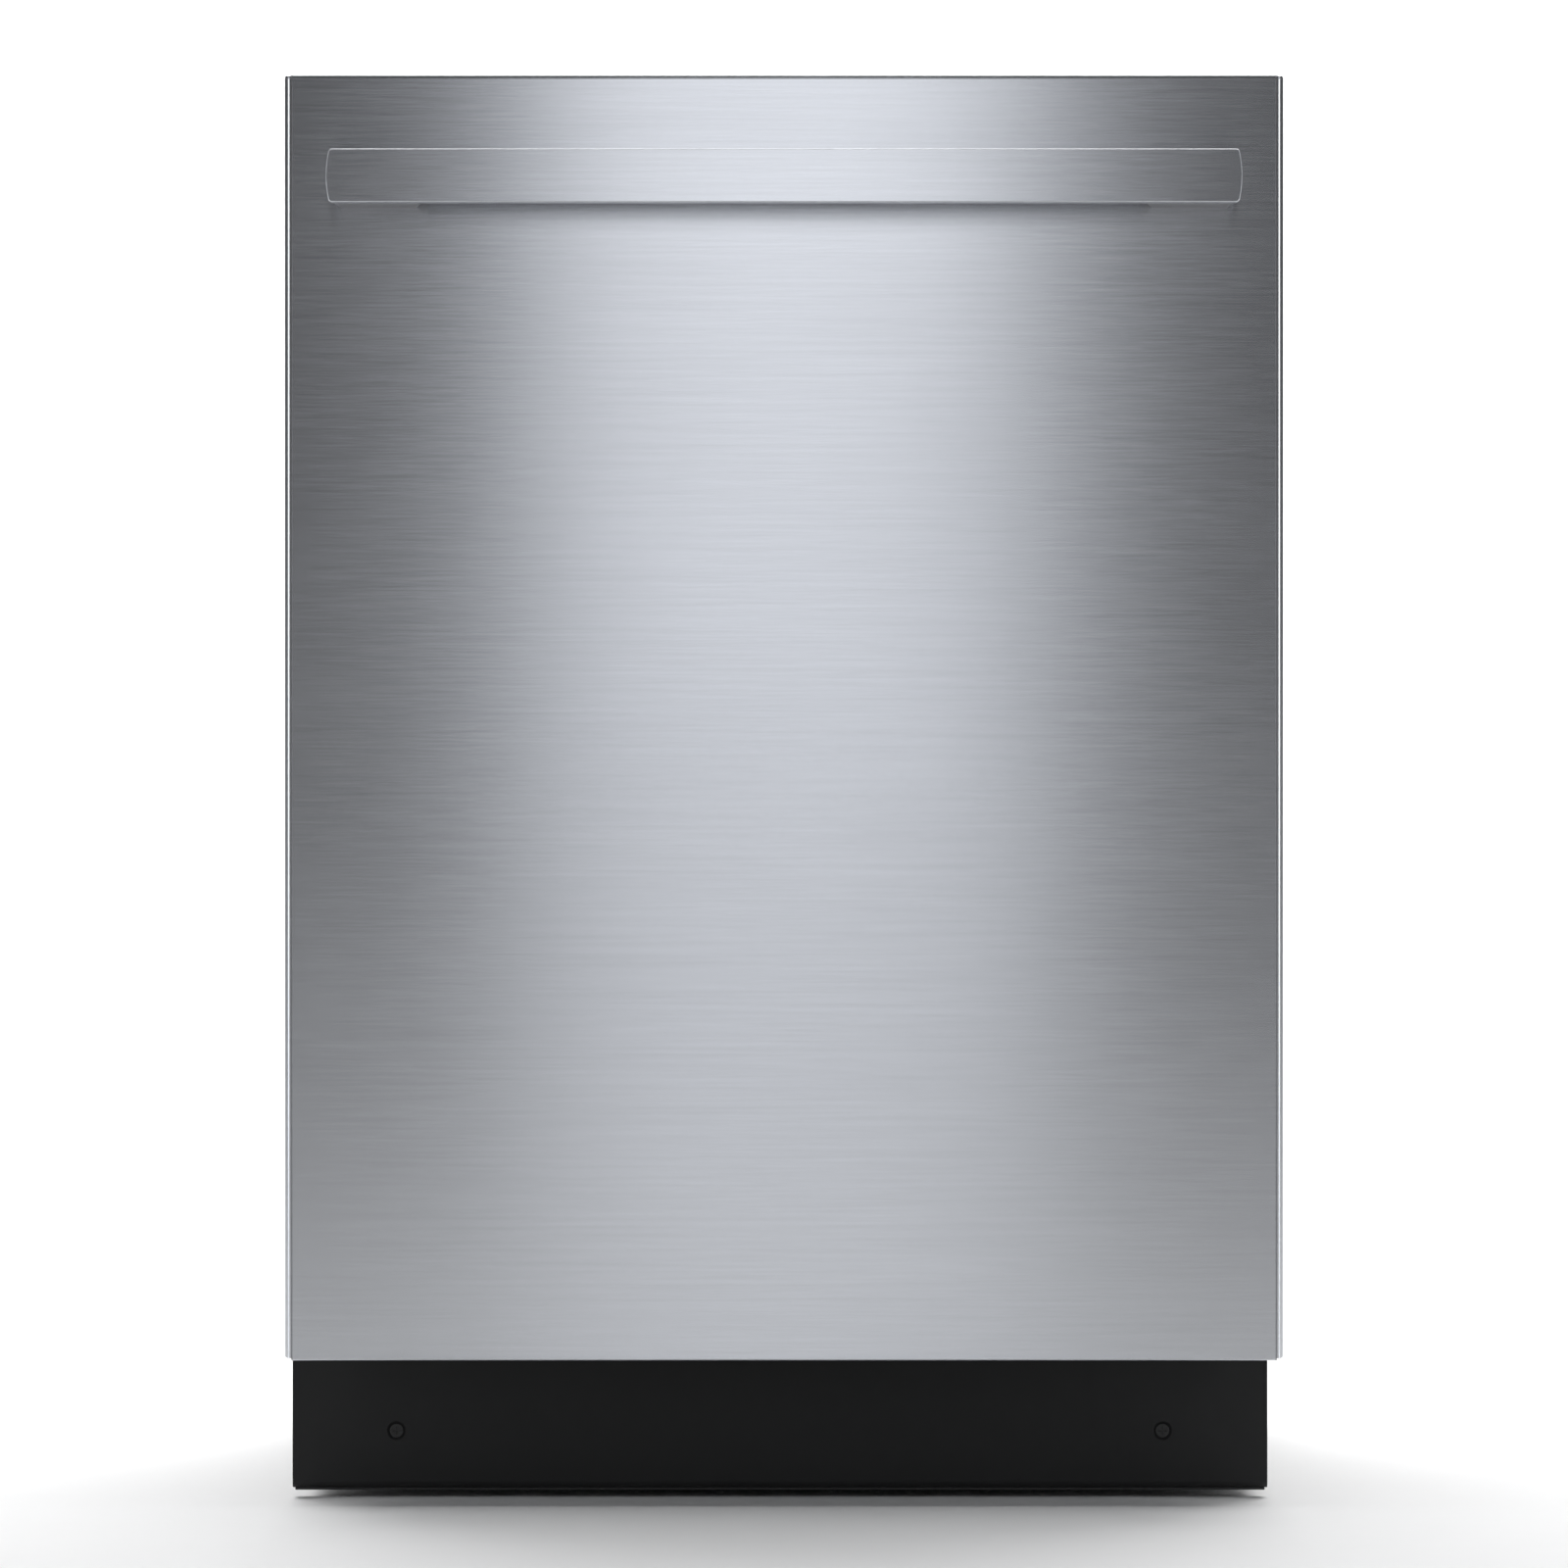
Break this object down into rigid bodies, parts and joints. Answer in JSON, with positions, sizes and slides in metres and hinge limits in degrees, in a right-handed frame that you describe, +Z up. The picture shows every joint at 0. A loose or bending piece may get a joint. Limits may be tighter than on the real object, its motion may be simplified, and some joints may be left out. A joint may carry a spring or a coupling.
{
  "type": "dishwasher",
  "caption": "Built-in dishwasher with a flat brushed steel door, a full-width bar handle, hidden top-edge keys, a recessed black toe kick, sliding wire racks and spray arms.",
  "frame": {"origin": "on the floor, under the middle of the bounding box", "axes": "+Z up, the door faces -Y, +X to the right of a person facing the door"},
  "size_m": [0.5986, 0.65, 0.86],
  "materials": {
    "outer_steel": "horizontal brush grain",
    "handle_steel": "fine grain along the bar",
    "inner_steel": "bright cold rolled",
    "zinc_steel": "zinc plated",
    "black_paint": "satin",
    "black_screw": "black oxide",
    "black_rubber": "matte",
    "felt": "pressed fibre",
    "bitumen": "bitumen",
    "black_plastic": "moulded",
    "display_glass": "smoked",
    "board_green": "solder mask",
    "grey_plastic": "moulded",
    "coated_wire": "nylon coated wire",
    "heater_steel": "drawn"
  },
  "bodies": {
    "machine": {"balance_springs": "zinc_steel", "base_tray": "black_plastic", "body_screws": "black_screw", "damping_mats": "bitumen", "feed_pipe": "grey_plastic", "filter_plate": "inner_steel", "flange_fittings": "zinc_steel", "flow_heater": "heater_steel", "hinge_brackets": "zinc_steel", "inlet_valve": "black_plastic", "junction_box": "black_plastic", "pumps": "black_plastic", "rails_outer": "zinc_steel", "side_posts": "zinc_steel", "sump": "black_plastic", "toe_kick": "black_paint", "toe_kick_strip": "black_rubber", "tub": "inner_steel", "tub_gasket": "black_rubber"},
    "door": {"door_panel": "outer_steel", "handle_bar": "handle_steel", "handle_arms": "handle_steel", "door_screws": "zinc_steel", "door_liner": "inner_steel", "door_channels": "zinc_steel", "door_insulation": "felt", "hinge_arms": "zinc_steel", "control_housing": "black_plastic", "display_window": "display_glass", "control_board": "board_green", "door_latch": "zinc_steel", "dispenser": "grey_plastic", "door_lip_seal": "black_rubber"},
    "dispenser_lid": {"dispenser_lid": "grey_plastic"},
    "rinse_cap": {"rinse_aid_cap": "grey_plastic"},
    "power_button": {"key_power": "black_plastic"},
    "program_button": {"key_program": "black_plastic"},
    "start_button": {"key_start": "black_plastic"},
    "front_left_foot": {"front_left_leg": "black_plastic"},
    "front_right_foot": {"front_right_leg": "black_plastic"},
    "rear_foot": {"rear_leg": "black_plastic"},
    "pulleys": {"cable_pulleys": "black_plastic"},
    "hooks": {"spring_hooks": "zinc_steel"},
    "filter": {"filter_cup": "grey_plastic"},
    "low_arm": {"lower_spray_arm": "grey_plastic"},
    "mid_arm": {"upper_spray_arm": "grey_plastic"},
    "high_arm": {"top_spray_arm": "grey_plastic"},
    "rail_stage": {"rails_middle": "zinc_steel"},
    "carriage": {"rails_inner": "zinc_steel", "rack_brackets": "grey_plastic", "third_rack": "coated_wire"},
    "upper_basket": {"upper_rack": "coated_wire", "upper_feed": "grey_plastic"},
    "lower_basket": {"lower_rack": "coated_wire", "wheel_carriers": "grey_plastic"},
    "front_wheels": {"lower_wheels_front": "grey_plastic"},
    "rear_wheels": {"lower_wheels_rear": "grey_plastic"},
    "front_fold": {"fold_row_front": "coated_wire"},
    "rear_fold": {"fold_row_rear": "coated_wire"},
    "cutlery": {"cutlery_basket": "grey_plastic"}
  },
  "joints": [
    {"name": "door_swing", "type": "hinge", "parent": "machine", "child": "door", "pos_m": [0, -0.25, 0.118], "axis": [1, 0, 0], "range_deg": [0, 90]},
    {"name": "front_left_level", "type": "slide", "parent": "machine", "child": "front_left_foot", "axis": [0, 0, -1], "range_m": [0, 0.06]},
    {"name": "front_right_level", "type": "slide", "parent": "machine", "child": "front_right_foot", "axis": [0, 0, -1], "range_m": [0, 0.06]},
    {"name": "rear_level", "type": "slide", "parent": "machine", "child": "rear_foot", "axis": [0, 0, -1], "range_m": [0, 0.06]},
    {"name": "pulley_turn", "type": "hinge", "parent": "machine", "child": "pulleys", "pos_m": [0, -0.165, 0.098], "axis": [1, 0, 0], "range_deg": [0, 460]},
    {"name": "hook_travel", "type": "slide", "parent": "machine", "child": "hooks", "axis": [0, 0, -1], "range_m": [0, 0.072], "deforming": ["balance_springs"]},
    {"name": "lid_slide", "type": "slide", "parent": "door", "child": "dispenser_lid", "axis": [0, 0, 1], "range_m": [0, 0.046]},
    {"name": "cap_turn", "type": "hinge", "parent": "door", "child": "rinse_cap", "pos_m": [0.068, -0.22, 0.501], "axis": [0, 1, 0], "range_deg": [0, 90]},
    {"name": "power_press", "type": "slide", "parent": "door", "child": "power_button", "axis": [0, 0, -1], "range_m": [0, 0.0012], "stiffness_N_per_m": 250},
    {"name": "program_press", "type": "slide", "parent": "door", "child": "program_button", "axis": [0, 0, -1], "range_m": [0, 0.0012], "stiffness_N_per_m": 250},
    {"name": "start_press", "type": "slide", "parent": "door", "child": "start_button", "axis": [0, 0, -1], "range_m": [0, 0.0012], "stiffness_N_per_m": 250},
    {"name": "filter_turn", "type": "hinge", "parent": "machine", "child": "filter", "pos_m": [0.056, -0.01, 0.11], "axis": [0, 0, 1], "range_deg": [0, 90]},
    {"name": "low_arm_spin", "type": "hinge", "parent": "machine", "child": "low_arm", "pos_m": [0, 0.045, 0.15], "axis": [0, 0, 1], "continuous": true},
    {"name": "high_arm_spin", "type": "hinge", "parent": "machine", "child": "high_arm", "pos_m": [0, 0.045, 0.796], "axis": [0, 0, 1], "continuous": true},
    {"name": "rail_travel", "type": "slide", "parent": "machine", "child": "rail_stage", "axis": [0, -1, 0], "range_m": [0, 0.24]},
    {"name": "carriage_travel", "type": "slide", "parent": "machine", "child": "carriage", "axis": [0, -1, 0], "range_m": [0, 0.48]},
    {"name": "rack_height", "type": "slide", "parent": "carriage", "child": "upper_basket", "axis": [0, 0, -1], "range_m": [0, 0.045]},
    {"name": "mid_arm_spin", "type": "hinge", "parent": "upper_basket", "child": "mid_arm", "pos_m": [0, 0.045, 0.485], "axis": [0, 0, 1], "continuous": true},
    {"name": "lower_travel", "type": "slide", "parent": "machine", "child": "lower_basket", "axis": [0, -1, 0], "range_m": [0, 0.11]},
    {"name": "front_wheel_spin", "type": "hinge", "parent": "lower_basket", "child": "front_wheels", "pos_m": [0, -0.121, 0.1623], "axis": [1, 0, 0], "range_deg": [0, 440]},
    {"name": "rear_wheel_spin", "type": "hinge", "parent": "lower_basket", "child": "rear_wheels", "pos_m": [0, 0.215, 0.1623], "axis": [1, 0, 0], "range_deg": [0, 440]},
    {"name": "front_fold_turn", "type": "hinge", "parent": "lower_basket", "child": "front_fold", "pos_m": [0, 0.06, 0.1781], "axis": [-1, 0, 0], "range_deg": [0, 90]},
    {"name": "rear_fold_turn", "type": "hinge", "parent": "lower_basket", "child": "rear_fold", "pos_m": [0, 0.15, 0.1781], "axis": [-1, 0, 0], "range_deg": [0, 90]},
    {"name": "cutlery_lift", "type": "slide", "parent": "lower_basket", "child": "cutlery", "axis": [0, 0, 1], "range_m": [0, 0.12]}
  ],
  "couplings": [
    {"joint": "rail_travel", "follows": "door_swing", "m_per_rad": 0.15},
    {"joint": "carriage_travel", "follows": "door_swing", "m_per_rad": 0.3},
    {"joint": "lower_travel", "follows": "door_swing", "m_per_rad": 0.065},
    {"joint": "hook_travel", "follows": "door_swing", "m_per_rad": 0.045},
    {"joint": "pulley_turn", "follows": "door_swing", "ratio": 5},
    {"joint": "front_wheel_spin", "follows": "door_swing", "ratio": 4.64},
    {"joint": "rear_wheel_spin", "follows": "door_swing", "ratio": 4.64}
  ]
}
